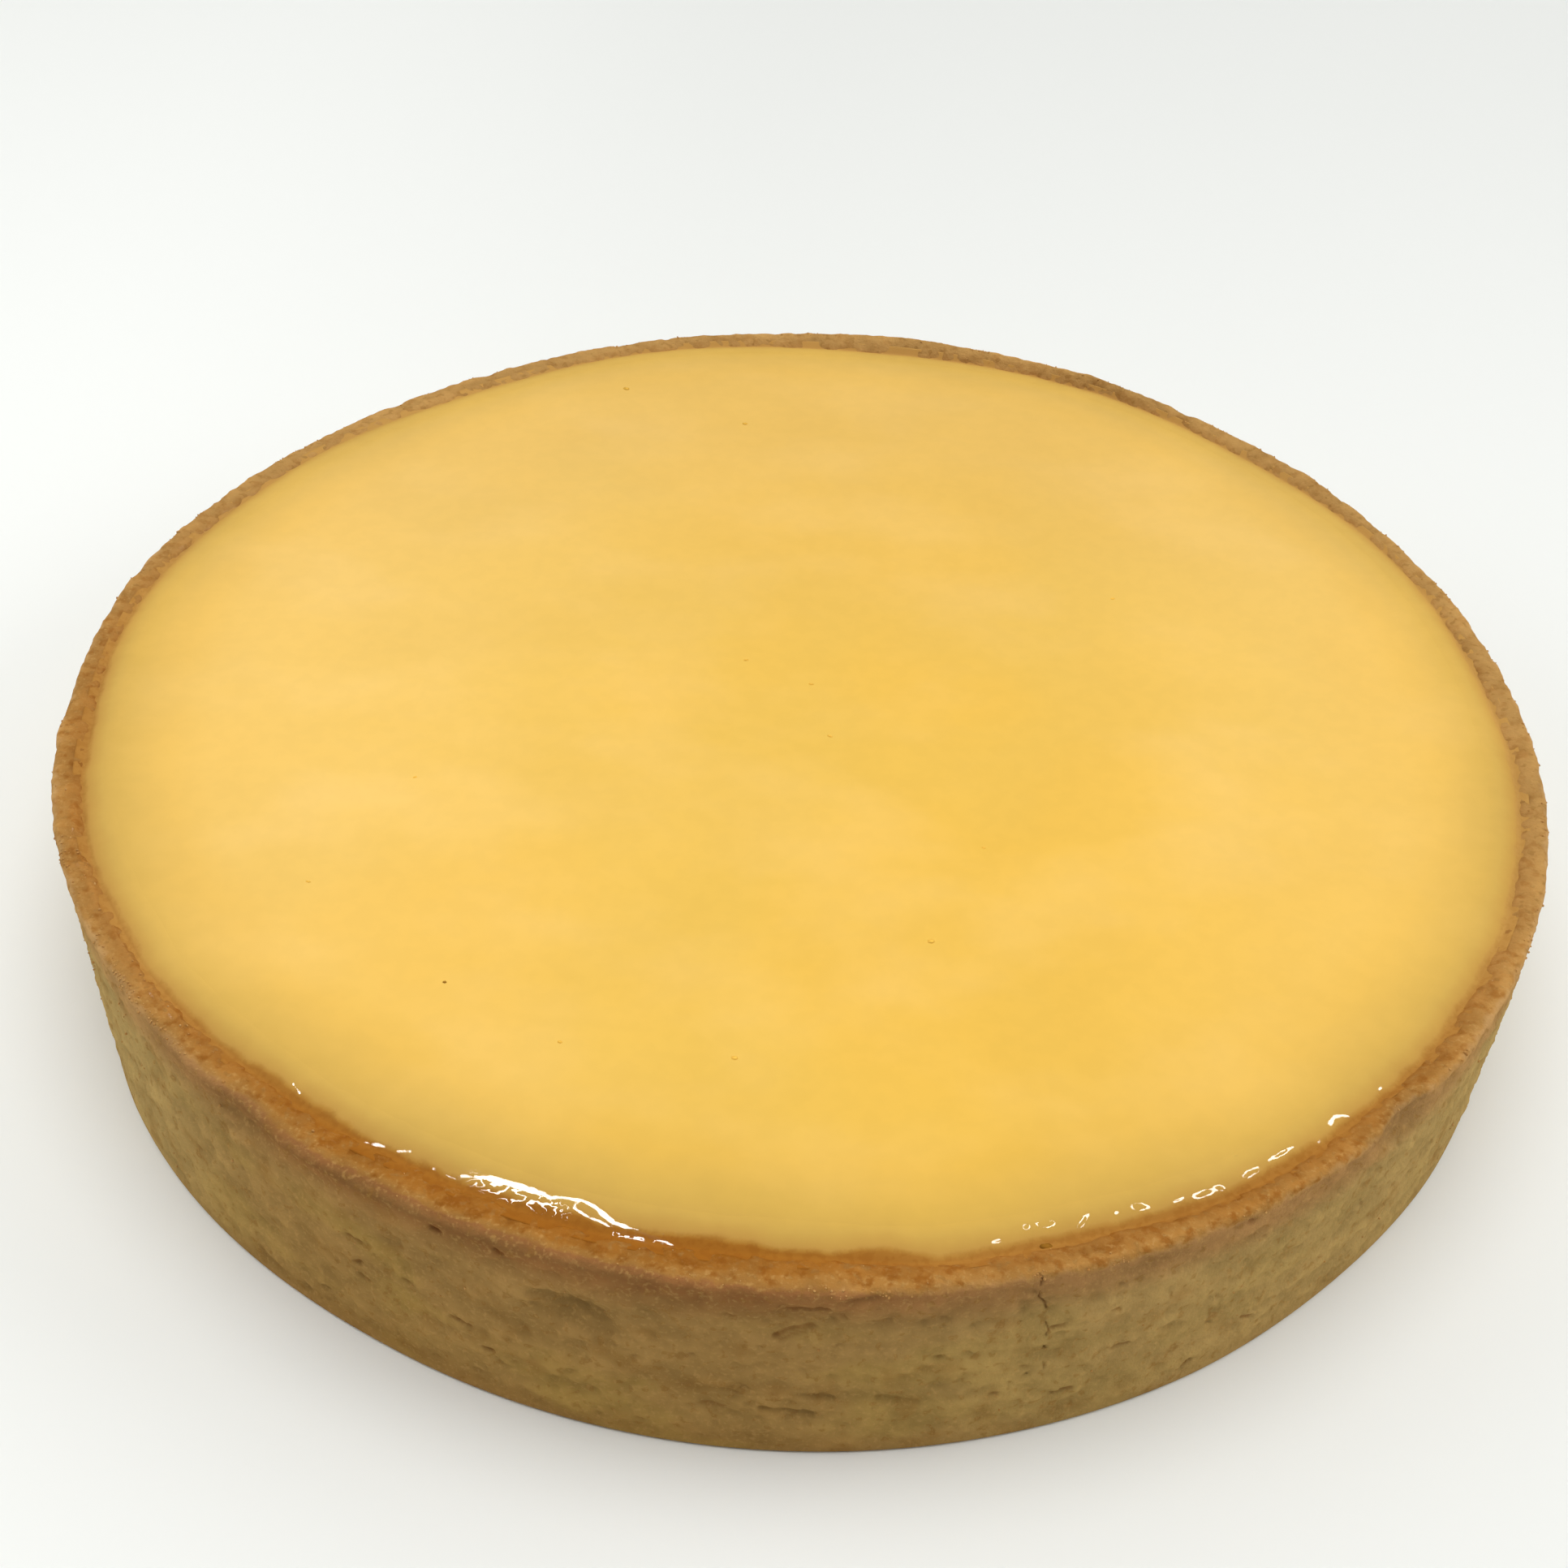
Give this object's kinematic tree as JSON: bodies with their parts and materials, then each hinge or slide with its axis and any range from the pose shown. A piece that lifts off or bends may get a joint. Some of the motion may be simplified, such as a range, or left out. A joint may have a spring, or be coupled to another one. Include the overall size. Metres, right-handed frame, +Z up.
{
  "type": "lemon tart",
  "caption": "Round lemon tart: an upright shortcrust case with a browned, uneven rim, filled to the brim with smooth, glossy lemon curd.",
  "frame": {"origin": "middle of the base, on the surface that the tart rests on", "axes": "+Z up along the axis of the tart, -Y towards the front as pictured, +X to the right"},
  "size_m": [0.1805, 0.1802, 0.0281],
  "materials": {
    "baked_pastry": "matte crumb, browned at the rim",
    "lemon_curd": "smooth and wet, with a clear glaze"
  },
  "bodies": {
    "root": {"crust": "baked_pastry", "lemon_filling": "lemon_curd"}
  },
  "joints": []
}
